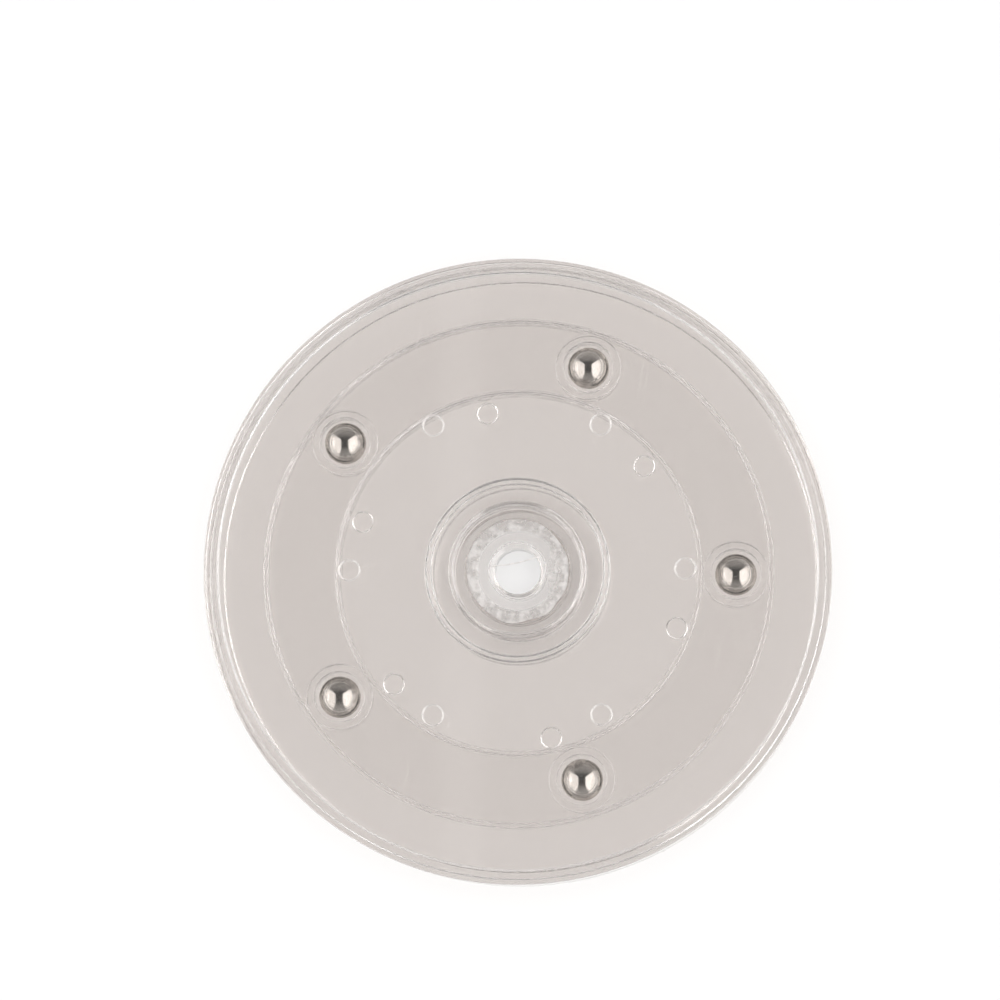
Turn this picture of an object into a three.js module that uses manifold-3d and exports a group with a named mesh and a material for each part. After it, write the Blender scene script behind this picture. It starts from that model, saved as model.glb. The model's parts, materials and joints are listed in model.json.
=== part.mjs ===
// A clear two-plate turntable for display: an upper plate that spins on five steel balls over an identical
// lower plate. The balls sit in a loose ring-shaped cage, and a hollow flanged spindle holds the plates together.
// Millimetres, +Z up. The origin is the middle of the standing face, on the axis of rotation.

import * as THREE from "three";
import { mergeVertices } from "three/addons/utils/BufferGeometryUtils.js";
import Module from "manifold-3d";

// Plates: one moulding, used twice, face to face
const DISC_RADIUS = 60;
const PLATE_THICKNESS = 2;
const LIP_HEIGHT = 0.8;
const LIP_FOOT_RADIUS = 57.2;
const LIP_WALL_LEAN = 0.2;
const SKIRT_THICKNESS = 1.1;
const SKIRT_GAP = 1;

// Sunken hub of a plate, and the stiffening rib round it
const HUB_WALL_RADIUS = 13;
const HUB_WALL_THICKNESS = 0.8;
const HUB_FLOOR_THICKNESS = 1.2;
const HUB_FLOOR_GAP = 0.8;
const HUB_BORE_RADIUS = 8;
const RIB_RADIUS = 17.6;
const RIB_THICKNESS = 1.1;
const RIB_HEIGHT = 1.5;

// Round ejector marks on the outer face of a plate
const MARK_COUNT = 6;
const MARK_PITCH_RADIUS = 32.1;
const MARK_RADIUS = 2.2;
const MARK_DEPTH = 0.3;
const TOP_MARK_PHASE = 0;
const BASE_MARK_PHASE = 41;

// Balls and their cage
const BALL_COUNT = 5;
const BALL_RADIUS = 4;
const BALL_PITCH_RADIUS = 41.75;
const BALL_PHASE = -1;
const BALL_PLAY = 0.05;
const CAGE_INNER_RADIUS = 34.4;
const CAGE_OUTER_RADIUS = 2 * BALL_PITCH_RADIUS - CAGE_INNER_RADIUS;
const CAGE_WEB_THICKNESS = 1.2;
const CAGE_RIM_THICKNESS = 0.8;
const CAGE_RIM_TOP = 1.1;
const POCKET_WALL_RADIUS = 6.35;
const POCKET_HALF_HEIGHT = 2.2;
const POCKET_RADIUS = 4.8;

// Spindle and the collar cemented round its upper end
const SPINDLE_RADIUS = 7.7;
const SPINDLE_BORE_RADIUS = 4.4;
const SPINDLE_MOUTH_RADIUS = 5.6;
const SPINDLE_CHAMFER_DEPTH = 0.9;
const SPINDLE_STAND_OUT = 0.3;
const FLANGE_RADIUS = 10.3;
const FLANGE_THICKNESS = 1.3;
const COLLAR_HEIGHT = 1.3;

// Clearance between pieces that rest on or run in each other
const CLEARANCE = 0.3;

// Facets round each kind of turned piece
const PLATE_SEGMENTS = 84;
const CAGE_SEGMENTS = 80;
const HUB_SEGMENTS = 42;
const POCKET_SEGMENTS = 24;
const MARK_SEGMENTS = 14;
const BALL_SEGMENTS = 20;
const BALL_RINGS = 12;

// Levels above the mid-plane of the ball gap
const INNER_FACE = BALL_RADIUS + BALL_PLAY;
const OUTER_FACE = INNER_FACE + PLATE_THICKNESS;
const LIP_TOP = OUTER_FACE + LIP_HEIGHT;
const FLOOR_INNER = HUB_FLOOR_GAP / 2;
const FLOOR_OUTER = FLOOR_INNER + HUB_FLOOR_THICKNESS;

const wasm = await Module();
wasm.setup();

// A three.js geometry as a manifold-3d solid
function toSolid(geometry) {
  const bare = geometry.clone();
  bare.deleteAttribute("normal");
  bare.deleteAttribute("uv");
  const merged = mergeVertices(bare, 1e-4);
  return new wasm.Manifold(
    new wasm.Mesh({
      numProp: 3,
      vertProperties: new Float32Array(merged.attributes.position.array),
      triVerts: new Uint32Array(merged.index.array),
    }),
  );
}

// A manifold-3d solid as a three.js geometry
function toGeometry(solid) {
  const mesh = solid.getMesh();
  const geometry = new THREE.BufferGeometry();
  geometry.setAttribute("position", new THREE.BufferAttribute(mesh.vertProperties, 3));
  geometry.setIndex(new THREE.BufferAttribute(mesh.triVerts, 1));
  geometry.computeVertexNormals();
  return geometry;
}

// A closed outline of [radius, height] points, anticlockwise, turned round +Z
function turned(outline, segments) {
  const points = [...outline, outline[0]].map(([radius, height]) => new THREE.Vector2(radius, height));
  return new THREE.LatheGeometry(points, segments).rotateX(Math.PI / 2);
}

// An upright cylinder between two heights
function post(radius, bottom, top, segments) {
  const geometry = new THREE.CylinderGeometry(radius, radius, top - bottom, segments);
  return geometry.rotateX(Math.PI / 2).translate(0, 0, (bottom + top) / 2);
}

// Moves a copy of a geometry out to a radius at an angle in degrees
function placedAt(geometry, radius, degrees) {
  const angle = THREE.MathUtils.degToRad(degrees);
  return geometry.clone().translate(radius, 0, 0).rotateZ(angle);
}

// The plate moulding as the upper plate: lip on top, skirt and rib below, hub sunk towards the mid-plane
function plateOutline() {
  const hubWallInner = HUB_WALL_RADIUS - HUB_WALL_THICKNESS;
  const ribInner = RIB_RADIUS - RIB_THICKNESS;
  const ribBottom = INNER_FACE - RIB_HEIGHT;
  const skirtInner = DISC_RADIUS - SKIRT_THICKNESS;
  const skirtBottom = SKIRT_GAP / 2;
  return [
    [HUB_BORE_RADIUS, FLOOR_INNER],
    [HUB_WALL_RADIUS, FLOOR_INNER],
    [HUB_WALL_RADIUS, INNER_FACE],
    [ribInner, INNER_FACE],
    [ribInner, ribBottom],
    [RIB_RADIUS, ribBottom],
    [RIB_RADIUS, INNER_FACE],
    [skirtInner, INNER_FACE],
    [skirtInner, skirtBottom],
    [DISC_RADIUS, skirtBottom],
    [DISC_RADIUS, LIP_TOP],
    [LIP_FOOT_RADIUS + LIP_WALL_LEAN, LIP_TOP],
    [LIP_FOOT_RADIUS, OUTER_FACE],
    [hubWallInner, OUTER_FACE],
    [hubWallInner, FLOOR_OUTER],
    [HUB_BORE_RADIUS, FLOOR_OUTER],
  ];
}

// The upper plate with its six shallow ejector marks sunk into the outer face
function plateGeometry(markPhase) {
  let solid = toSolid(turned(plateOutline(), PLATE_SEGMENTS));
  const mark = post(MARK_RADIUS, OUTER_FACE - MARK_DEPTH, LIP_TOP, MARK_SEGMENTS);
  for (let i = 0; i < MARK_COUNT; i++) {
    const degrees = markPhase + (i * 360) / MARK_COUNT;
    solid = solid.subtract(toSolid(placedAt(mark, MARK_PITCH_RADIUS, degrees)));
  }
  return toGeometry(solid);
}

// Ring-shaped cage: a flat web between two rims that slide on the lower plate, with a walled pocket per ball
function cageGeometry() {
  const rimBottom = -INNER_FACE + CLEARANCE;
  const web = CAGE_WEB_THICKNESS / 2;
  const innerRim = CAGE_INNER_RADIUS + CAGE_RIM_THICKNESS;
  const outerRim = CAGE_OUTER_RADIUS - CAGE_RIM_THICKNESS;
  const ring = turned(
    [
      [CAGE_INNER_RADIUS, rimBottom],
      [innerRim, rimBottom],
      [innerRim, -web],
      [outerRim, -web],
      [outerRim, rimBottom],
      [CAGE_OUTER_RADIUS, rimBottom],
      [CAGE_OUTER_RADIUS, CAGE_RIM_TOP],
      [outerRim, CAGE_RIM_TOP],
      [outerRim, web],
      [innerRim, web],
      [innerRim, CAGE_RIM_TOP],
      [CAGE_INNER_RADIUS, CAGE_RIM_TOP],
    ],
    CAGE_SEGMENTS,
  );
  const wall = post(POCKET_WALL_RADIUS, -POCKET_HALF_HEIGHT, POCKET_HALF_HEIGHT, POCKET_SEGMENTS);
  const hole = post(POCKET_RADIUS, -POCKET_HALF_HEIGHT, POCKET_HALF_HEIGHT, POCKET_SEGMENTS);
  let solid = toSolid(ring);
  for (const degrees of ballAngles()) {
    solid = solid.add(toSolid(placedAt(wall, BALL_PITCH_RADIUS, degrees)));
    solid = solid.subtract(toSolid(placedAt(hole, BALL_PITCH_RADIUS, degrees)));
  }
  return toGeometry(solid);
}

function ballAngles() {
  return Array.from({ length: BALL_COUNT }, (_, i) => BALL_PHASE + (i * 360) / BALL_COUNT);
}

// Hollow spindle: a flange under the lower hub floor and a tube up through both floors
function spindleGeometry() {
  const shoulder = -FLOOR_OUTER - CLEARANCE;
  const bottom = shoulder - FLANGE_THICKNESS;
  const top = FLOOR_OUTER + CLEARANCE + COLLAR_HEIGHT + SPINDLE_STAND_OUT;
  return turned(
    [
      [SPINDLE_BORE_RADIUS, bottom + SPINDLE_CHAMFER_DEPTH],
      [SPINDLE_MOUTH_RADIUS, bottom],
      [FLANGE_RADIUS, bottom],
      [FLANGE_RADIUS, shoulder],
      [SPINDLE_RADIUS, shoulder],
      [SPINDLE_RADIUS, top],
      [SPINDLE_MOUTH_RADIUS, top],
      [SPINDLE_BORE_RADIUS, top - SPINDLE_CHAMFER_DEPTH],
    ],
    HUB_SEGMENTS,
  );
}

// Collar cemented round the spindle, above the upper hub floor
function collarGeometry() {
  const bottom = FLOOR_OUTER + CLEARANCE;
  const top = bottom + COLLAR_HEIGHT;
  const inner = SPINDLE_RADIUS + CLEARANCE;
  return turned(
    [
      [inner, bottom],
      [FLANGE_RADIUS, bottom],
      [FLANGE_RADIUS, top],
      [inner, top],
    ],
    HUB_SEGMENTS,
  );
}

function clearPlastic() {
  return new THREE.MeshStandardMaterial({
    color: 0xd9d4cf,
    roughness: 0.05,
    metalness: 0,
    transparent: true,
    opacity: 0.35,
  });
}

function polishedSteel() {
  return new THREE.MeshStandardMaterial({ color: 0xc8c6c2, roughness: 0.06, metalness: 1 });
}

function named(name, geometry, material) {
  const mesh = new THREE.Mesh(geometry, material);
  mesh.name = name;
  return mesh;
}

const turntable = new THREE.Group();
turntable.position.z = LIP_TOP;

turntable.add(named("top_plate", plateGeometry(TOP_MARK_PHASE), clearPlastic()));

const basePlate = named("base_plate", plateGeometry(-BASE_MARK_PHASE), clearPlastic());
basePlate.rotation.x = Math.PI;
turntable.add(basePlate);

turntable.add(named("ball_cage", cageGeometry(), clearPlastic()));
turntable.add(named("centre_spindle", spindleGeometry(), clearPlastic()));
turntable.add(named("retaining_collar", collarGeometry(), clearPlastic()));

ballAngles().forEach((degrees, i) => {
  const angle = THREE.MathUtils.degToRad(degrees);
  const sphere = new THREE.SphereGeometry(BALL_RADIUS, BALL_SEGMENTS, BALL_RINGS).rotateX(Math.PI / 2);
  const ball = named(`steel_ball_${i + 1}`, sphere, polishedSteel());
  ball.rotation.z = angle;
  ball.position.set(BALL_PITCH_RADIUS * Math.cos(angle), BALL_PITCH_RADIUS * Math.sin(angle), 0);
  turntable.add(ball);
});

const root = new THREE.Group();
root.add(turntable);

export default root;
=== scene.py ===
import json
import math

import bmesh
import bpy
from mathutils import Matrix, Vector, noise


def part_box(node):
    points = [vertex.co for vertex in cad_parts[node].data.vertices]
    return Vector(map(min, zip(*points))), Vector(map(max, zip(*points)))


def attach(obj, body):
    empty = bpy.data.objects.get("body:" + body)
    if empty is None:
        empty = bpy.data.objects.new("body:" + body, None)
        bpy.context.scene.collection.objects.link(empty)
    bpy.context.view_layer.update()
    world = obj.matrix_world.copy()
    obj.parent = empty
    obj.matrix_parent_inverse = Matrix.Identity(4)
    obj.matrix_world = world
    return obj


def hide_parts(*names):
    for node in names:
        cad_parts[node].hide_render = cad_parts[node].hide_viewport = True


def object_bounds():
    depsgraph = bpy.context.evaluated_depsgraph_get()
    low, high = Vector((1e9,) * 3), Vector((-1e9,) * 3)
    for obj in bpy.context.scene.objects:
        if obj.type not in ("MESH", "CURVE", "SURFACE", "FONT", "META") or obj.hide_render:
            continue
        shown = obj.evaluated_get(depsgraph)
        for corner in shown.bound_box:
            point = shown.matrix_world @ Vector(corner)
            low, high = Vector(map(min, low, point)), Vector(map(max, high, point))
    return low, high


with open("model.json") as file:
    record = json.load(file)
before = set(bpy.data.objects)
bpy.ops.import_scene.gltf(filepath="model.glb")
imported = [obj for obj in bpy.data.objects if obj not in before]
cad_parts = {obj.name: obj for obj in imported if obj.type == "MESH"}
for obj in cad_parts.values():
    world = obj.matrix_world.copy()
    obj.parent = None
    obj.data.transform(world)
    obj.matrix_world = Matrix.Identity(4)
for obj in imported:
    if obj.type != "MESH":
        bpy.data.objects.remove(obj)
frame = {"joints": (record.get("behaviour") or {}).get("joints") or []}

CAD_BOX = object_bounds()
MM = 0.001

# ---------------------------------------------------------------- sizes from the frame
LOW, HIGH = CAD_BOX
MIDDLE = (LOW + HIGH) / 2
PLATE_LOW, PLATE_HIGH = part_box("top_plate")
CAGE_LOW, CAGE_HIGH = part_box("ball_cage")
SPINDLE_LOW, SPINDLE_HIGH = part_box("centre_spindle")
COLLAR_LOW, COLLAR_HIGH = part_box("retaining_collar")
BALL_LOW, BALL_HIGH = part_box("steel_ball_1")

DISC_RADIUS = PLATE_HIGH[0]
LIP_TOP = PLATE_HIGH[2] - MIDDLE.z
FLOOR_INNER = PLATE_LOW[2] - MIDDLE.z
CAGE_OUTER_RADIUS = CAGE_HIGH[0]
CAGE_BOTTOM = CAGE_LOW[2] - MIDDLE.z
BALL_RADIUS = (BALL_HIGH[2] - BALL_LOW[2]) / 2
FLANGE_RADIUS = SPINDLE_HIGH[0]

# ---------------------------------------------------------------- sizes inside the plates
PLATE_THICKNESS = 2 * MM
LIP_HEIGHT = 0.8 * MM
LIP_FOOT_RADIUS = 57.2 * MM
LIP_WALL_LEAN = 0.2 * MM
SKIRT_THICKNESS = 1.1 * MM
SKIRT_BOTTOM = 0.5 * MM
HUB_WALL_RADIUS = 13 * MM
HUB_WALL_THICKNESS = 0.8 * MM
HUB_FLOOR_THICKNESS = 1.2 * MM
HUB_BORE_RADIUS = 8 * MM
RIB_RADIUS = 17.6 * MM
RIB_THICKNESS = 1.1 * MM
RIB_HEIGHT = 1.5 * MM
OUTER_FACE = LIP_TOP - LIP_HEIGHT
INNER_FACE = OUTER_FACE - PLATE_THICKNESS
FLOOR_OUTER = FLOOR_INNER + HUB_FLOOR_THICKNESS

RIM_FILLET = 0.2 * MM
CREST_FILLET = 0.15 * MM
LIP_FOOT_FILLET = 0.18 * MM
SKIRT_ROOT_FILLET = 0.16 * MM
SKIRT_EDGE_FILLET = 0.14 * MM
BORE_FILLET = 0.2 * MM
HUB_FOOT_FILLET = 0.5 * MM
HUB_ROOT_FILLET = 0.4 * MM
HUB_MOUTH_FILLET = 0.35 * MM
HUB_CORNER_FILLET = 0.25 * MM
RIB_ROOT_FILLET = 0.25 * MM
RIB_CREST_FILLET = 0.5 * MM

MARK_COUNT = 6
MARK_PITCH_RADIUS = 32.1 * MM
MARK_RADIUS = 2.2 * MM
MARK_FLOOR_RADIUS = 1.75 * MM
MARK_DEPTH = 0.3 * MM
MARK_STEPS = 10
TOP_MARK_PHASE = 0
BASE_MARK_PHASE = 41

# ---------------------------------------------------------------- sizes inside the cage
CAGE_INNER_RADIUS = 34.4 * MM
CAGE_WEB_THICKNESS = 1.2 * MM
CAGE_RIM_THICKNESS = 0.8 * MM
CAGE_RIM_TOP = 1.1 * MM
CAGE_EDGE_FILLET = 0.2 * MM
CAGE_UPPER_FILLET = 0.16 * MM
POCKET_WALL_RADIUS = 6.35 * MM
POCKET_HALF_HEIGHT = 2.2 * MM
POCKET_RADIUS = 4.8 * MM
POCKET_FILLET = 0.16 * MM
POCKET_OVERCUT = 0.3 * MM
POCKET_WALL_CORE = 3 * MM

# ---------------------------------------------------------------- sizes of the spindle and collar
SPINDLE_RADIUS = 7.7 * MM
SPINDLE_BORE_RADIUS = 4.4 * MM
SPINDLE_MOUTH_RADIUS = 5.6 * MM
SPINDLE_CHAMFER_DEPTH = 0.9 * MM
SPINDLE_FILLET = 0.15 * MM
COUNTERBORE_LEAN = 0.25 * MM
COUNTERBORE_SHARE = 0.6
COUNTERBORE_FLOOR_FILLET = 0.1 * MM
COUNTERBORE_EDGE_FILLET = 0.14 * MM
LOWER_MOUTH_FILLET = 0.12 * MM
FLANGE_THICKNESS = 1.3 * MM
FLANGE_FILLET = 0.2 * MM
COLLAR_GAP = 0.3 * MM
COLLAR_INNER_FILLET = 0.15 * MM
COLLAR_FOOT_FILLET = 0.2 * MM
COLLAR_TOP_FILLET = 0.3 * MM

# ---------------------------------------------------------------- sizes of the cement
CEMENT_LIFT = 0.02 * MM
CEMENT_CLEARANCE = 0.02 * MM
CEMENT_SETBACK = 0.15 * MM
CEMENT_CROWN = 0.35 * MM
CEMENT_LEAST_HEIGHT = 0.03 * MM
CEMENT_SEGMENTS = 360
CEMENT_STEPS = 20
CEMENT_EDGE_WANDER = 0.45 * MM
CEMENT_EDGE_WAVES = 2.3
CEMENT_EDGE_OFFSET = 0.45
CEMENT_THIN_SIDE = 0.2 * MM
CEMENT_THIN_SIDE_ANGLE = 0.1
CEMENT_THIN_SIDE_POWER = 3
CEMENT_LUMPS_PER_MM = 0.9
CEMENT_SWELL_START = 0.12
CEMENT_BODY_SHARE = 0.6
CEMENT_LUMP_SHARE = 0.5
LUMP_FALLOFF = 0.8
LUMP_SPREAD = 2.2
LUMP_LAYERS = 5

SMEAR_START = math.radians(-42)
SMEAR_END = math.radians(38)
SMEAR_STEPS = 90
SMEAR_RINGS = 18
SMEAR_CROWN = 0.3 * MM
SMEAR_SKIN = 0.02 * MM
SMEAR_OUTER_SETBACK = 0.05 * MM
SMEAR_INNER_SETBACK = 0.15 * MM
SMEAR_LUMPS_PER_MM = 1.1
SMEAR_EDGE_START = 0.08
SMEAR_EDGE_SPAN = 0.84
SMEAR_LUMP_OFFSET = Vector((7, 3, 1))

STRAND_RADIUS = 0.11 * MM
STRAND_DEPTH_SHARE = 0.55
STRAND_POINTS = ((-4.95 * MM, 0.95 * MM), (-1.2 * MM, 1.35 * MM), (4.35 * MM, 2.75 * MM))

# ---------------------------------------------------------------- fineness of the meshes
PLATE_SEGMENTS = 256
HUB_SEGMENTS = 128
POCKET_SEGMENTS = 72
MARK_SEGMENTS = 48
BALL_STEPS = 64
ARC_STEPS = 6
EDGE_WIDTH = 0.04 * MM
SHARP_ANGLE = math.radians(33)
FULL_WEIGHT = 100


# ---------------------------------------------------------------- meshes
def rounded(outline):
    """The points of an outline whose (radius, height, fillet) corners become arcs between short flats."""
    points = []
    for i, (radius, height, fillet) in enumerate(outline):
        corner = Vector((radius, height))
        if not fillet:
            points.append(corner)
            continue
        back = (Vector(outline[i - 1][:2]) - corner).normalized()
        ahead = (Vector(outline[(i + 1) % len(outline)][:2]) - corner).normalized()
        half = back.angle(ahead) / 2
        reach = fillet / math.tan(half)
        centre = corner + (back + ahead).normalized() * fillet / math.sin(half)
        first = corner + back * reach - centre
        last = corner + ahead * reach - centre
        sweep = first.angle_signed(last)
        points.append(corner + back * (reach + EDGE_WIDTH))
        for k in range(ARC_STEPS + 1):
            turn = -sweep * k / ARC_STEPS
            points.append(centre + Matrix.Rotation(turn, 2) @ first)
        points.append(corner + ahead * (reach + EDGE_WIDTH))
    return points


def smooth(piece):
    """Shades the piece smooth, but sharp where its faces meet at a real edge."""
    piece.data.polygons.foreach_set("use_smooth", [True] * len(piece.data.polygons))
    piece.data.set_sharp_from_angle(angle=SHARP_ANGLE)


def new_piece(name, bm):
    """A smooth-shaded object of the mesh."""
    bmesh.ops.remove_doubles(bm, verts=bm.verts, dist=1e-7)
    bmesh.ops.recalc_face_normals(bm, faces=bm.faces)
    mesh = bpy.data.meshes.new(name)
    bm.to_mesh(mesh)
    bm.free()
    piece = bpy.data.objects.new(name, mesh)
    bpy.context.scene.collection.objects.link(piece)
    smooth(piece)
    return piece


def evaluated_mesh(piece):
    """A new mesh of the piece with its modifiers, or its curve's bevel, applied."""
    bpy.context.view_layer.update()
    graph = bpy.context.evaluated_depsgraph_get()
    return bpy.data.meshes.new_from_object(piece.evaluated_get(graph))


def join_rows(bm, rows):
    """Faces between each row of vertices and the next, where every row is a closed loop."""
    for row, following in rows:
        for k in range(len(row)):
            j = (k + 1) % len(row)
            bm.faces.new((row[k], row[j], following[j], following[k]))


def turned(name, points, segments, closed=True):
    """The outline turned round the Z axis. An open outline starts and ends on the axis."""
    bm = bmesh.new()
    rings = []
    for radius, height in points:
        ring = []
        for s in range(segments):
            angle = 2 * math.pi * s / segments
            ring.append(bm.verts.new((radius * math.cos(angle), radius * math.sin(angle), height)))
        rings.append(ring)
    pairs = list(zip(rings, rings[1:]))
    if closed:
        pairs.append((rings[-1], rings[0]))
    join_rows(bm, pairs)
    return new_piece(name, bm)


def combined(piece, tools, operation):
    """Cuts the tools out of the piece, or joins them to it, and removes them."""
    for tool in tools:
        modifier = piece.modifiers.new(operation, "BOOLEAN")
        modifier.operation = operation
        modifier.solver = "EXACT"
        modifier.object = tool
    mesh = evaluated_mesh(piece)
    piece.modifiers.clear()
    piece.data = mesh
    for tool in tools:
        bpy.data.objects.remove(tool)
    smooth(piece)
    return piece


def flattened(piece):
    """Lets the large faces set the shading where they meet small ones, so that flat faces look flat."""
    weighted = piece.modifiers.new("weighted", "WEIGHTED_NORMAL")
    weighted.mode = "FACE_AREA"
    weighted.weight = FULL_WEIGHT
    weighted.keep_sharp = True
    mesh = evaluated_mesh(piece)
    piece.modifiers.clear()
    piece.data = mesh
    return piece


def at_angle(piece, radius, angle):
    """Moves a tool's mesh out to a radius and round to an angle in radians."""
    piece.data.transform(Matrix.Rotation(angle, 4, "Z") @ Matrix.Translation((radius, 0, 0)))
    return piece


# ---------------------------------------------------------------- the clear mouldings
def plate_outline():
    """Half of the upper plate's section, from the hub's bore outward underneath and back over the top."""
    hub_wall_inner = HUB_WALL_RADIUS - HUB_WALL_THICKNESS
    rib_inner = RIB_RADIUS - RIB_THICKNESS
    rib_bottom = INNER_FACE - RIB_HEIGHT
    skirt_inner = DISC_RADIUS - SKIRT_THICKNESS
    return rounded([
        (HUB_BORE_RADIUS, FLOOR_INNER, BORE_FILLET),
        (HUB_WALL_RADIUS, FLOOR_INNER, HUB_FOOT_FILLET),
        (HUB_WALL_RADIUS, INNER_FACE, HUB_ROOT_FILLET),
        (rib_inner, INNER_FACE, RIB_ROOT_FILLET),
        (rib_inner, rib_bottom, RIB_CREST_FILLET),
        (RIB_RADIUS, rib_bottom, RIB_CREST_FILLET),
        (RIB_RADIUS, INNER_FACE, RIB_ROOT_FILLET),
        (skirt_inner, INNER_FACE, SKIRT_ROOT_FILLET),
        (skirt_inner, SKIRT_BOTTOM, SKIRT_EDGE_FILLET),
        (DISC_RADIUS, SKIRT_BOTTOM, SKIRT_EDGE_FILLET),
        (DISC_RADIUS, LIP_TOP, RIM_FILLET),
        (LIP_FOOT_RADIUS + LIP_WALL_LEAN, LIP_TOP, CREST_FILLET),
        (LIP_FOOT_RADIUS, OUTER_FACE, LIP_FOOT_FILLET),
        (hub_wall_inner, OUTER_FACE, HUB_MOUTH_FILLET),
        (hub_wall_inner, FLOOR_OUTER, HUB_CORNER_FILLET),
        (HUB_BORE_RADIUS, FLOOR_OUTER, BORE_FILLET),
    ])


def ejector_mark(angle):
    """The tool for one shallow round mark whose wall curves down from the outer face to the mark's floor."""
    points = [(0, OUTER_FACE - MARK_DEPTH)]
    for k in range(MARK_STEPS + 1):
        share = k / MARK_STEPS
        radius = MARK_FLOOR_RADIUS + (MARK_RADIUS - MARK_FLOOR_RADIUS) * share
        points.append((radius, OUTER_FACE - MARK_DEPTH * (1 + math.cos(math.pi * share)) / 2))
    points.append((MARK_RADIUS, OUTER_FACE + MARK_DEPTH))
    points.append((0, OUTER_FACE + MARK_DEPTH))
    return at_angle(turned("mark", points, MARK_SEGMENTS, closed=False), MARK_PITCH_RADIUS, angle)


def plate(name, mark_phase, upside_down):
    """One of the two plates, which are the same moulding but for the turn of their marks."""
    piece = turned(name, plate_outline(), PLATE_SEGMENTS)
    marks = []
    for i in range(MARK_COUNT):
        marks.append(ejector_mark(math.radians(mark_phase + 360 * i / MARK_COUNT)))
    flattened(combined(piece, marks, "DIFFERENCE"))
    if upside_down:
        piece.data.transform(Matrix.Rotation(math.pi, 4, "X"))
    piece.data.transform(Matrix.Translation((0, 0, MIDDLE.z)))
    return piece


def ball_joints():
    """Each ball's body, centre and roll axis, from the joints."""
    return [
        (joint["child"], Vector(joint["pos_m"]), Vector(joint["axis"]))
        for joint in frame["joints"]
        if joint["child"].startswith("ball_")
    ]


def cage():
    """The ring with its web and rims, joined to a wall round each ball and opened by each ball's hole."""
    web = CAGE_WEB_THICKNESS / 2
    inner = CAGE_INNER_RADIUS + CAGE_RIM_THICKNESS
    outer = CAGE_OUTER_RADIUS - CAGE_RIM_THICKNESS
    ring = turned("cage", rounded([
        (CAGE_INNER_RADIUS, CAGE_BOTTOM, CAGE_EDGE_FILLET),
        (inner, CAGE_BOTTOM, CAGE_EDGE_FILLET),
        (inner, -web, CAGE_EDGE_FILLET),
        (outer, -web, CAGE_EDGE_FILLET),
        (outer, CAGE_BOTTOM, CAGE_EDGE_FILLET),
        (CAGE_OUTER_RADIUS, CAGE_BOTTOM, CAGE_EDGE_FILLET),
        (CAGE_OUTER_RADIUS, CAGE_RIM_TOP, CAGE_EDGE_FILLET),
        (outer, CAGE_RIM_TOP, CAGE_UPPER_FILLET),
        (outer, web, CAGE_UPPER_FILLET),
        (inner, web, CAGE_UPPER_FILLET),
        (inner, CAGE_RIM_TOP, CAGE_UPPER_FILLET),
        (CAGE_INNER_RADIUS, CAGE_RIM_TOP, CAGE_EDGE_FILLET),
    ]), PLATE_SEGMENTS)
    walls = []
    holes = []
    for _, centre, _ in ball_joints():
        radius = centre.to_2d().length
        angle = math.atan2(centre.y, centre.x)
        walls.append(at_angle(pocket_wall(), radius, angle))
        holes.append(at_angle(pocket_hole(), radius, angle))
    combined(ring, walls, "UNION")
    combined(ring, holes, "DIFFERENCE")
    ring.data.transform(Matrix.Translation((0, 0, MIDDLE.z)))
    return ring


def pocket_wall():
    """The wall round a ball, before its hole is cut."""
    return turned("pocket_wall", rounded([
        (POCKET_WALL_CORE, -POCKET_HALF_HEIGHT, 0),
        (POCKET_WALL_RADIUS, -POCKET_HALF_HEIGHT, POCKET_FILLET),
        (POCKET_WALL_RADIUS, POCKET_HALF_HEIGHT, POCKET_FILLET),
        (POCKET_WALL_CORE, POCKET_HALF_HEIGHT, 0),
    ]), POCKET_SEGMENTS)


def pocket_hole():
    """The tool for a pocket's straight hole, flared at both ends so that it leaves rounded edges."""
    flare_radius = POCKET_RADIUS + POCKET_FILLET
    end = POCKET_HALF_HEIGHT + POCKET_OVERCUT
    flare = []
    for k in range(ARC_STEPS + 1):
        angle = math.pi / 2 * k / ARC_STEPS
        radius = POCKET_RADIUS + POCKET_FILLET * (1 - math.sin(angle))
        flare.append((radius, POCKET_HALF_HEIGHT - POCKET_FILLET * (1 - math.cos(angle))))
    lower = [(0, -end), (flare_radius, -end)] + [(radius, -height) for radius, height in flare]
    upper = flare[::-1] + [(flare_radius, end), (0, end)]
    return turned("pocket_hole", lower + upper, POCKET_SEGMENTS, closed=False)


def spindle():
    """The hollow spindle: a flange and a chamfered mouth below, a counterbored mouth above."""
    bottom = SPINDLE_LOW[2]
    shoulder = bottom + FLANGE_THICKNESS
    top = SPINDLE_HIGH[2]
    counterbore_floor = top - COUNTERBORE_SHARE * SPINDLE_CHAMFER_DEPTH
    return turned("hollow_spindle", rounded([
        (SPINDLE_BORE_RADIUS, bottom + SPINDLE_CHAMFER_DEPTH, LOWER_MOUTH_FILLET),
        (SPINDLE_MOUTH_RADIUS, bottom, LOWER_MOUTH_FILLET),
        (FLANGE_RADIUS, bottom, FLANGE_FILLET),
        (FLANGE_RADIUS, shoulder, FLANGE_FILLET),
        (SPINDLE_RADIUS, shoulder, SPINDLE_FILLET),
        (SPINDLE_RADIUS, top, SPINDLE_FILLET),
        (SPINDLE_MOUTH_RADIUS, top, SPINDLE_FILLET),
        (SPINDLE_MOUTH_RADIUS - COUNTERBORE_LEAN, counterbore_floor, COUNTERBORE_FLOOR_FILLET),
        (SPINDLE_BORE_RADIUS, top - SPINDLE_CHAMFER_DEPTH, COUNTERBORE_EDGE_FILLET),
    ]), HUB_SEGMENTS)


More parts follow.
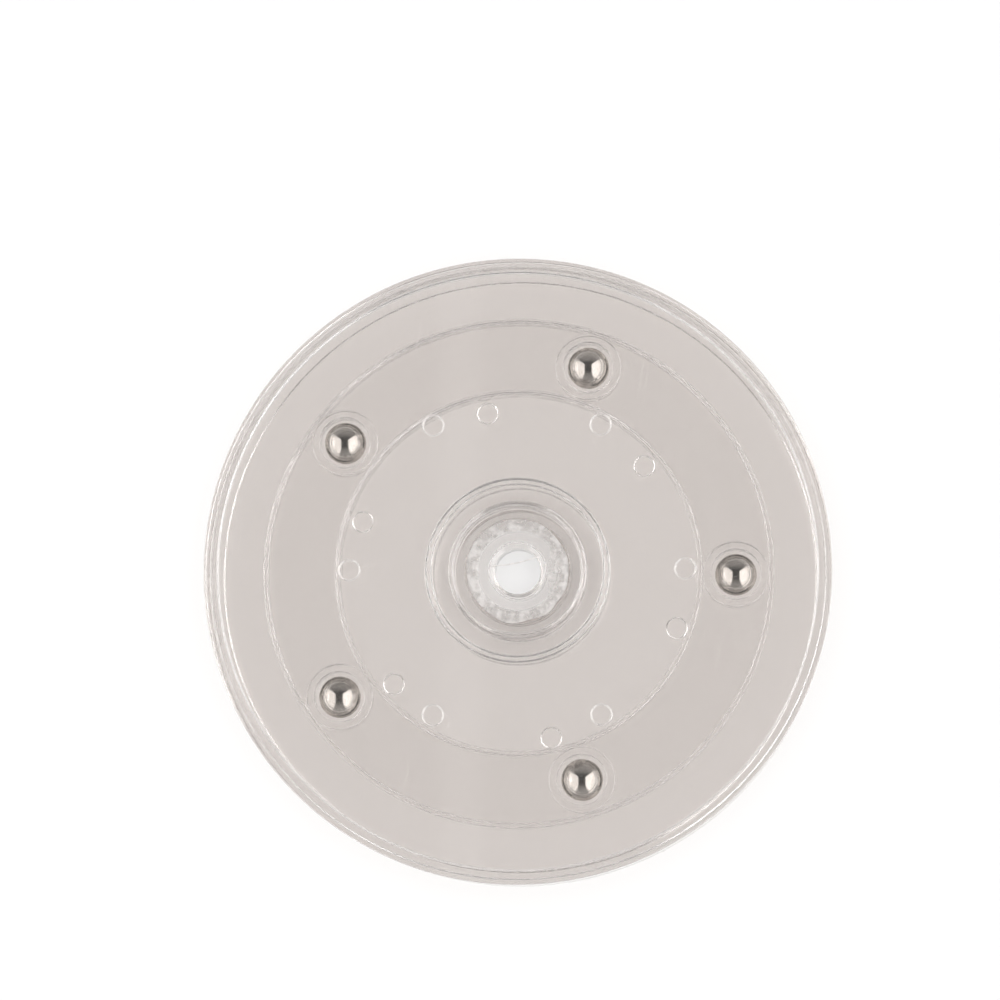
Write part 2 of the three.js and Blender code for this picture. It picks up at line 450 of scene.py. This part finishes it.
def collar():
    inner = SPINDLE_RADIUS + COLLAR_GAP
    outer = COLLAR_HIGH[0]
    return turned("cemented_collar", rounded([
        (inner, COLLAR_LOW[2], COLLAR_INNER_FILLET),
        (outer, COLLAR_LOW[2], COLLAR_FOOT_FILLET),
        (outer, COLLAR_HIGH[2], COLLAR_TOP_FILLET),
        (inner, COLLAR_HIGH[2], COLLAR_INNER_FILLET),
    ]), HUB_SEGMENTS)


# ---------------------------------------------------------------- the cured cement
def lumps(place):
    """Smooth lumpy noise at a place, about -1 to 1 and the same on every run."""
    return noise.fractal(place, LUMP_FALLOFF, LUMP_SPREAD, LUMP_LAYERS)


def outward(angle):
    return Vector((math.cos(angle), math.sin(angle), 0))


def cement():
    """The rough bead of cement over the joint between collar and spindle, with an uneven outer edge."""
    inner = SPINDLE_RADIUS + CEMENT_CLEARANCE
    outer = COLLAR_HIGH[0] - CEMENT_SETBACK
    low = COLLAR_HIGH[2] + CEMENT_LIFT
    bm = bmesh.new()
    rings = []
    for s in range(CEMENT_SEGMENTS):
        angle = 2 * math.pi * s / CEMENT_SEGMENTS
        way = outward(angle)
        edge_noise = noise.noise(way * CEMENT_EDGE_WAVES) - CEMENT_EDGE_OFFSET
        thin_side = max(0, math.cos(angle - CEMENT_THIN_SIDE_ANGLE)) ** CEMENT_THIN_SIDE_POWER
        edge = outer + CEMENT_EDGE_WANDER * edge_noise - CEMENT_THIN_SIDE * thin_side
        ring = []
        for k in range(CEMENT_STEPS + 1):
            share = k / CEMENT_STEPS
            radius = inner + (edge - inner) * share
            lump = lumps(way * radius / MM * CEMENT_LUMPS_PER_MM)
            swell = math.sin(math.pi * min(share + CEMENT_SWELL_START, 1))
            crown = CEMENT_CROWN * swell * (CEMENT_BODY_SHARE + CEMENT_LUMP_SHARE * lump)
            height = low + max(crown, CEMENT_LEAST_HEIGHT)
            ring.append(bm.verts.new(way * radius + Vector((0, 0, height))))
        for radius in (edge, inner):
            ring.append(bm.verts.new(way * radius + Vector((0, 0, low))))
        rings.append(ring)
    join_rows(bm, zip(rings, rings[1:] + rings[:1]))
    return new_piece("cement_bead", bm)


def cement_smear():
    """Cement that ran over the spindle's upper end on the +X side, and dried as a thin uneven skin."""
    low = SPINDLE_HIGH[2] + CEMENT_LIFT
    outer = SPINDLE_RADIUS - SMEAR_OUTER_SETBACK
    widest = SPINDLE_RADIUS - SPINDLE_MOUTH_RADIUS - SMEAR_INNER_SETBACK
    bm = bmesh.new()
    rows = []
    for i in range(SMEAR_STEPS + 1):
        way = outward(SMEAR_START + (SMEAR_END - SMEAR_START) * i / SMEAR_STEPS)
        fade = math.sin(math.pi * i / SMEAR_STEPS)
        inner = SPINDLE_RADIUS - widest * fade
        upper = []
        for k in range(SMEAR_RINGS + 1):
            radius = inner + (outer - inner) * k / SMEAR_RINGS
            lump = 0.5 + 0.5 * lumps(way * radius / MM * SMEAR_LUMPS_PER_MM + SMEAR_LUMP_OFFSET)
            edge = math.sin(math.pi * (SMEAR_EDGE_START + SMEAR_EDGE_SPAN * k / SMEAR_RINGS)) * fade
            upper.append(way * radius + Vector((0, 0, low + SMEAR_SKIN + SMEAR_CROWN * lump * edge)))
        lower = [Vector((v.x, v.y, low)) for v in reversed(upper)]
        rows.append([bm.verts.new(v) for v in upper + lower])
    join_rows(bm, zip(rows, rows[1:]))
    bm.faces.new(rows[0])
    bm.faces.new(rows[-1])
    return new_piece("cement_smear", bm)


def cement_strand():
    """A hair-thin strand of cement across the spindle's mouth."""
    height = SPINDLE_HIGH[2] - SPINDLE_CHAMFER_DEPTH * STRAND_DEPTH_SHARE
    curve = bpy.data.curves.new("cement_strand", "CURVE")
    curve.dimensions = "3D"
    curve.bevel_depth = STRAND_RADIUS
    curve.bevel_resolution = 4
    curve.use_fill_caps = True
    line = curve.splines.new("BEZIER")
    line.bezier_points.add(len(STRAND_POINTS) - 1)
    for point, (x, y) in zip(line.bezier_points, STRAND_POINTS):
        point.co = (x, y, height)
        point.handle_left_type = "AUTO"
        point.handle_right_type = "AUTO"
    drawn = bpy.data.objects.new("strand_curve", curve)
    bpy.context.scene.collection.objects.link(drawn)
    mesh = evaluated_mesh(drawn)
    bpy.data.objects.remove(drawn)
    piece = bpy.data.objects.new("cement_strand", mesh)
    bpy.context.scene.collection.objects.link(piece)
    smooth(piece)
    return piece


# ---------------------------------------------------------------- the balls
def ball(name):
    """A ball as a half-circle turned round its roll axis, which lies along its own Z."""
    points = []
    for k in range(BALL_STEPS + 1):
        angle = math.pi * k / BALL_STEPS
        points.append((BALL_RADIUS * math.sin(angle), -BALL_RADIUS * math.cos(angle)))
    return turned(name, points, 2 * BALL_STEPS, closed=False)


# ---------------------------------------------------------------- node helpers
def new_material(name):
    material = bpy.data.materials.new(name)
    material.use_nodes = True
    material.node_tree.nodes.clear()
    return material, material.node_tree


def shown(tree, shader):
    """Links a shader to the material's output."""
    output = tree.nodes.new("ShaderNodeOutputMaterial")
    tree.links.new(shader, output.inputs["Surface"])


def maths(tree, operation, first, second):
    """A Math node on two sockets or numbers."""
    node = tree.nodes.new("ShaderNodeMath")
    node.operation = operation
    for socket, value in zip(node.inputs, (first, second)):
        if isinstance(value, bpy.types.NodeSocket):
            tree.links.new(value, socket)
        else:
            socket.default_value = value
    return node.outputs["Value"]


def ramp(tree, value, low, high, start, end, curve="SMOOTHSTEP"):
    """Goes from start to end as the value goes from low to high, and stays there beyond them."""
    node = tree.nodes.new("ShaderNodeMapRange")
    node.interpolation_type = curve
    for name, number in (("From Min", low), ("From Max", high), ("To Min", start), ("To Max", end)):
        node.inputs[name].default_value = number
    tree.links.new(value, node.inputs["Value"])
    return node.outputs["Result"]


def coordinate(tree, name):
    return tree.nodes.new("ShaderNodeTexCoord").outputs[name]


def components(tree, vector):
    split = tree.nodes.new("ShaderNodeSeparateXYZ")
    tree.links.new(vector, split.inputs["Vector"])
    return split.outputs


def noise_texture(tree, place, scale, detail):
    texture = tree.nodes.new("ShaderNodeTexNoise")
    texture.inputs["Scale"].default_value = scale
    texture.inputs["Detail"].default_value = detail
    tree.links.new(place, texture.inputs["Vector"])
    return texture


def add_bump(tree, body, height, strength, depth):
    bump = tree.nodes.new("ShaderNodeBump")
    bump.inputs["Strength"].default_value = strength
    bump.inputs["Distance"].default_value = depth
    tree.links.new(height, bump.inputs["Height"])
    tree.links.new(bump.outputs["Normal"], body.inputs["Normal"])


# ---------------------------------------------------------------- materials
PLATE_TINT = (0.9, 0.878, 0.864)
LAMP_TINT = (0.974, 0.968, 0.965)
HUB_TINT = (0.93, 0.905, 0.89)
CAGE_TINT = (0.995, 0.985, 0.98)
CAGE_LAMP_TINT = (0.998, 0.997, 0.996)
CEMENT_TINT = (0.97, 0.93, 0.905)
STEEL_TINT = (0.53, 0.51, 0.485)
STEEL_EDGE_TINT = (0.85, 0.83, 0.8)
FLOOR_TINT = (0.88, 0.875, 0.87)

POLYSTYRENE_IOR = 1.58
CEMENT_IOR = 1.5
EDGE_WEAR = 0.2
SCRATCH_FADE = 0.05
TRACK_HALF_WIDTH = 0.15 * MM
TRACK_EDGE = 0.45 * MM


def scratches(tree, scale, turn_degrees, stretch, keep):
    """Thin broken lines along one direction, as 0 to 1: stretched noise cut to its narrow crests."""
    mapping = tree.nodes.new("ShaderNodeMapping")
    mapping.vector_type = "TEXTURE"
    mapping.inputs["Rotation"].default_value = (0, 0, math.radians(turn_degrees))
    mapping.inputs["Scale"].default_value = (1 / scale, 1 / (scale * stretch), 1 / scale)
    tree.links.new(coordinate(tree, "Object"), mapping.inputs["Vector"])
    texture = noise_texture(tree, mapping.outputs["Vector"], 1, 2)
    texture.inputs["Distortion"].default_value = 0.3
    return ramp(tree, texture.outputs["Fac"], keep, keep + SCRATCH_FADE, 0, 1, curve="LINEAR")


def edge_wear(tree, amount):
    """Whitish rubbing on rounded edges and sloping walls, none on flat faces or upright walls."""
    level = maths(tree, "ABSOLUTE", components(tree, coordinate(tree, "Normal"))["Z"], 0)
    off_flat = ramp(tree, level, 0.86, 0.98, 1, 0)
    off_upright = ramp(tree, level, 0.1, 0.3, 0, 1)
    return maths(tree, "MULTIPLY", maths(tree, "MULTIPLY", off_flat, off_upright), amount)


def clear_plastic(name, tint, shade, clarity, roughness, wear):
    """Clear moulded polystyrene with a trace of haze, scratches and worn edges. Shadow rays go straight
    through it with the shade's tint, so the lamp lights the floor under it."""
    material, tree = new_material(name)
    nodes, links = tree.nodes, tree.links
    body = nodes.new("ShaderNodeBsdfPrincipled")
    body.inputs["Base Color"].default_value = (*tint, 1)
    body.inputs["IOR"].default_value = POLYSTYRENE_IOR
    see_through = maths(tree, "SUBTRACT", clarity, edge_wear(tree, EDGE_WEAR))
    links.new(see_through, body.inputs["Transmission Weight"])
    fine = scratches(tree, scale=95, turn_degrees=24, stretch=60, keep=0.67)
    crossed = scratches(tree, scale=140, turn_degrees=-58, stretch=50, keep=0.68)
    long_ones = scratches(tree, scale=60, turn_degrees=80, stretch=90, keep=0.68)
    marks = maths(tree, "MAXIMUM", maths(tree, "MAXIMUM", fine, crossed), long_ones)
    rough = maths(tree, "ADD", maths(tree, "MULTIPLY", marks, wear), roughness)
    links.new(rough, body.inputs["Roughness"])
    add_bump(tree, body, marks, strength=0.12, depth=0.02 * MM)
    lamp_way = nodes.new("ShaderNodeBsdfTransparent")
    lamp_way.inputs["Color"].default_value = (*shade, 1)
    path = nodes.new("ShaderNodeLightPath")
    mix = nodes.new("ShaderNodeMixShader")
    links.new(path.outputs["Is Shadow Ray"], mix.inputs["Fac"])
    links.new(body.outputs["BSDF"], mix.inputs[1])
    links.new(lamp_way.outputs["BSDF"], mix.inputs[2])
    shown(tree, mix.outputs["Shader"])
    return material


def cured_cement(name, clearest, milkiest, pit_depth):
    """Cured solvent cement: glassy patches in a milky, pitted skin, between two amounts of see-through."""
    material, tree = new_material(name)
    nodes, links = tree.nodes, tree.links
    body = nodes.new("ShaderNodeBsdfPrincipled")
    body.inputs["Base Color"].default_value = (*CEMENT_TINT, 1)
    body.inputs["IOR"].default_value = CEMENT_IOR
    place = coordinate(tree, "Object")
    pits = nodes.new("ShaderNodeTexVoronoi")
    pits.inputs["Scale"].default_value = 2200
    links.new(place, pits.inputs["Vector"])
    clouds = noise_texture(tree, place, 620, 6).outputs["Fac"]
    milk = ramp(tree, clouds, 0.38, 0.66, 0, 1)
    links.new(ramp(tree, milk, 0, 1, clearest, milkiest), body.inputs["Transmission Weight"])
    links.new(ramp(tree, clouds, 0.3, 0.7, 0.32, 0.08), body.inputs["Roughness"])
    pitting = maths(tree, "MULTIPLY", pits.outputs["Distance"], milk)
    add_bump(tree, body, pitting, strength=0.8, depth=pit_depth)
    shown(tree, body.outputs["BSDF"])
    return material


def polished_steel(name):
    """Bearing steel: a mirror with faint orange peel and a slightly duller track round the roll axis."""
    material, tree = new_material(name)
    body = tree.nodes.new("ShaderNodeBsdfPrincipled")
    body.inputs["Base Color"].default_value = (*STEEL_TINT, 1)
    body.inputs["Specular Tint"].default_value = (*STEEL_EDGE_TINT, 1)
    body.inputs["Metallic"].default_value = 1
    place = coordinate(tree, "Object")
    from_track = maths(tree, "ABSOLUTE", components(tree, place)["Z"], 0)
    track = ramp(tree, from_track, TRACK_HALF_WIDTH, TRACK_EDGE, 0.05, 0, curve="LINEAR")
    haze = noise_texture(tree, place, 700, 3).outputs["Fac"]
    rough = maths(tree, "ADD", maths(tree, "MULTIPLY", haze, 0.06), track)
    tree.links.new(maths(tree, "ADD", rough, 0.02), body.inputs["Roughness"])
    add_bump(tree, body, haze, strength=0.05, depth=0.02 * MM)
    shown(tree, body.outputs["BSDF"])
    return material


# ---------------------------------------------------------------- the object
def finish_piece(piece, material, body, nodes):
    """Gives a piece its one material, ties it to its body and hides the CAD nodes it stands for."""
    piece.data.materials.clear()
    piece.data.materials.append(material)
    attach(piece, body)
    if nodes:
        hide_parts(*nodes)


def build_plates():
    plastic = clear_plastic(
        "clear_plate_plastic", PLATE_TINT, LAMP_TINT, clarity=0.99, roughness=0.015, wear=0.25)
    finish_piece(plate("upper_plate", TOP_MARK_PHASE, False), plastic, "top", ["top_plate"])
    finish_piece(plate("lower_plate", -BASE_MARK_PHASE, True), plastic, "base", ["base_plate"])


def build_cage():
    plastic = clear_plastic(
        "clear_cage_plastic", CAGE_TINT, CAGE_LAMP_TINT, clarity=0.96, roughness=0.02, wear=0.12)
    finish_piece(cage(), plastic, "cage", ["ball_cage"])


def build_hub():
    plastic = clear_plastic(
        "clear_hub_plastic", HUB_TINT, CAGE_LAMP_TINT, clarity=0.94, roughness=0.03, wear=0.12)
    finish_piece(spindle(), plastic, "base", ["centre_spindle"])
    finish_piece(collar(), plastic, "base", ["retaining_collar"])
    dried = cured_cement("cured_cement", clearest=0.6, milkiest=0.36, pit_depth=0.09 * MM)
    finish_piece(cement(), dried, "base", [])
    finish_piece(cement_smear(), dried, "base", [])
    thread = cured_cement("cured_cement_thread", clearest=0.2, milkiest=0.05, pit_depth=0.02 * MM)
    finish_piece(cement_strand(), thread, "base", [])


def build_balls():
    steel = polished_steel("polished_ball_steel")
    for number, (body, centre, axis) in enumerate(ball_joints(), 1):
        piece = ball(f"bearing_ball_{number}")
        piece.matrix_world = Matrix.Translation(centre) @ axis.to_track_quat("Z", "Y").to_matrix().to_4x4()
        piece.visible_shadow = False
        finish_piece(piece, steel, body, [f"steel_ball_{number}"])


# ---------------------------------------------------------------- stage
CAMERA_DISTANCE = 0.8
CAMERA_WAY = Vector((0.045, -0.105, 1)).normalized()
VIEW_SIDE = 190.6 * MM
AIM_LEFT = 3.19 * MM
AIM_UP = 13.12 * MM
SENSOR = 36

FLOOR_SIZE = 6
FLOOR_GAP = 0.02 * MM

WALL_EDGE = (0.26, 0.42)
RIGHT_WALL = 3.6
LEFT_WALL = 2.8
LOW_LEFT_EDGE = (0.8, 0.9)
LOW_LEFT_GLOW = 1.5
WALL_SPREAD = (0.55, 0.95)
NEAR_SIDE_EDGE = (-0.12, 0.12)
NEAR_SIDE_SPREAD = 0.42
END_EDGE = (0.3, 0.85)
END_GLOW = 0.5
TENT_DIM = 0.12
SLIT_LEFT = 0.058
SLIT_EDGE = (0.003, 0.007)
SLIT_GLOW = 0.2
BACKDROP = 0.95

LAMP_SIDE = 2
LAMP_HEIGHT = 1.3
LAMP_POWER = 34


def add_camera():
    """Looks down on the stand, which sits a little right of and below the picture's middle."""
    data = bpy.data.cameras.new("camera")
    camera = bpy.data.objects.new("camera", data)
    bpy.context.scene.collection.objects.link(camera)
    data.sensor_width = SENSOR
    data.lens = SENSOR * CAMERA_DISTANCE / VIEW_SIDE
    top_centre = Vector((MIDDLE.x, MIDDLE.y, HIGH.z))
    camera.location = top_centre + CAMERA_WAY * CAMERA_DISTANCE
    right, up = picture_axes(CAMERA_WAY)
    target = top_centre - right * AIM_LEFT + up * AIM_UP
    back = (camera.location - target).normalized()
    right, up = picture_axes(back)
    camera.rotation_euler = Matrix((right, up, back)).transposed().to_euler()
    bpy.context.scene.camera = camera


def picture_axes(back):
    """The picture's right and up for a camera that looks against this direction, with +Y upward."""
    right = Vector((0, 1, 0)).cross(back).normalized()
    return right, back.cross(right)


def add_floor():
    bpy.ops.mesh.primitive_plane_add(size=FLOOR_SIZE, location=(0, 0, LOW.z - FLOOR_GAP))
    floor = bpy.context.object
    floor.name = "floor"
    material, tree = new_material("pale_floor")
    body = tree.nodes.new("ShaderNodeBsdfPrincipled")
    body.inputs["Base Color"].default_value = (*FLOOR_TINT, 1)
    body.inputs["Roughness"].default_value = 0.8
    shown(tree, body.outputs["BSDF"])
    floor.data.materials.append(material)


def tent_walls(tree, way):
    """Bright wedges left and right that spread further round on the -Y side, and a glow low on the left."""
    leftwards = maths(tree, "MULTIPLY", way["X"], -1)
    right = ramp(tree, way["X"], *WALL_EDGE, 0, RIGHT_WALL)
    left = ramp(tree, leftwards, *WALL_EDGE, 0, LEFT_WALL)
    low_left = ramp(tree, leftwards, *LOW_LEFT_EDGE, 0, LOW_LEFT_GLOW)
    walls = maths(tree, "ADD", maths(tree, "ADD", right, left), low_left)
    sideways = maths(tree, "MAXIMUM", maths(tree, "ABSOLUTE", way["X"], 0), 0.01)
    swing = maths(tree, "DIVIDE", maths(tree, "ABSOLUTE", way["Y"], 0), sideways)
    swing = maths(tree, "MULTIPLY", swing, ramp(tree, way["Y"], *NEAR_SIDE_EDGE, NEAR_SIDE_SPREAD, 1))
    return maths(tree, "MULTIPLY", walls, ramp(tree, swing, *WALL_SPREAD, 1, 0))


def tent_slit(tree, way):
    """A faint, narrow band of light that crosses overhead along Y."""
    across = maths(tree, "ABSOLUTE", maths(tree, "ADD", way["X"], SLIT_LEFT), 0)
    return maths(tree, "MULTIPLY", ramp(tree, across, *SLIT_EDGE, 1, 0), SLIT_GLOW)


def add_light_tent():
    """A light tent: bright side walls, dim ends at +Y and -Y, and a faint slit in a nearly dark roof.
    The camera itself sees an even backdrop in its place."""
    world = bpy.data.worlds.new("light_tent")
    world.use_nodes = True
    tree = world.node_tree
    tree.nodes.clear()
    way = components(tree, coordinate(tree, "Generated"))
    ends = ramp(tree, maths(tree, "ABSOLUTE", way["Y"], 0), *END_EDGE, 0, END_GLOW)
    lit = maths(tree, "ADD", tent_walls(tree, way), ends)
    power = maths(tree, "ADD", lit, maths(tree, "ADD", tent_slit(tree, way), TENT_DIM))
    to_camera = tree.nodes.new("ShaderNodeLightPath").outputs["Is Camera Ray"]
    seen = maths(tree, "MULTIPLY", to_camera, BACKDROP)
    unseen = maths(tree, "MULTIPLY", maths(tree, "SUBTRACT", 1, to_camera), power)
    background = tree.nodes.new("ShaderNodeBackground")
    tree.links.new(maths(tree, "ADD", seen, unseen), background.inputs["Strength"])
    output = tree.nodes.new("ShaderNodeOutputWorld")
    tree.links.new(background.outputs["Background"], output.inputs["Surface"])
    bpy.context.scene.world = world
    world.cycles_visibility.diffuse = False


def add_overhead_lamp():
    """A broad soft lamp overhead that lights the floor and the rough surfaces, and gives no glare."""
    data = bpy.data.lights.new("overhead_lamp", "AREA")
    data.shape = "RECTANGLE"
    data.size = LAMP_SIDE
    data.size_y = LAMP_SIDE
    data.energy = LAMP_POWER
    data.cycles.use_multiple_importance_sampling = False
    lamp = bpy.data.objects.new("overhead_lamp", data)
    lamp.location = (MIDDLE.x, MIDDLE.y, LAMP_HEIGHT)
    lamp.visible_camera = False
    lamp.visible_glossy = False
    lamp.visible_transmission = False
    bpy.context.scene.collection.objects.link(lamp)


def set_view():
    """Plain colours, and enough bounces for light that crosses many clear surfaces."""
    scene = bpy.context.scene
    scene.view_settings.view_transform = "Standard"
    scene.cycles.max_bounces = 64
    scene.cycles.transmission_bounces = 64
    scene.cycles.glossy_bounces = 12
    scene.cycles.transparent_max_bounces = 40
    scene.cycles.caustics_reflective = False
    scene.cycles.caustics_refractive = False
    scene.cycles.use_denoising = True


build_plates()
build_cage()
build_hub()
build_balls()
add_camera()
add_floor()
add_light_tent()
add_overhead_lamp()
set_view()
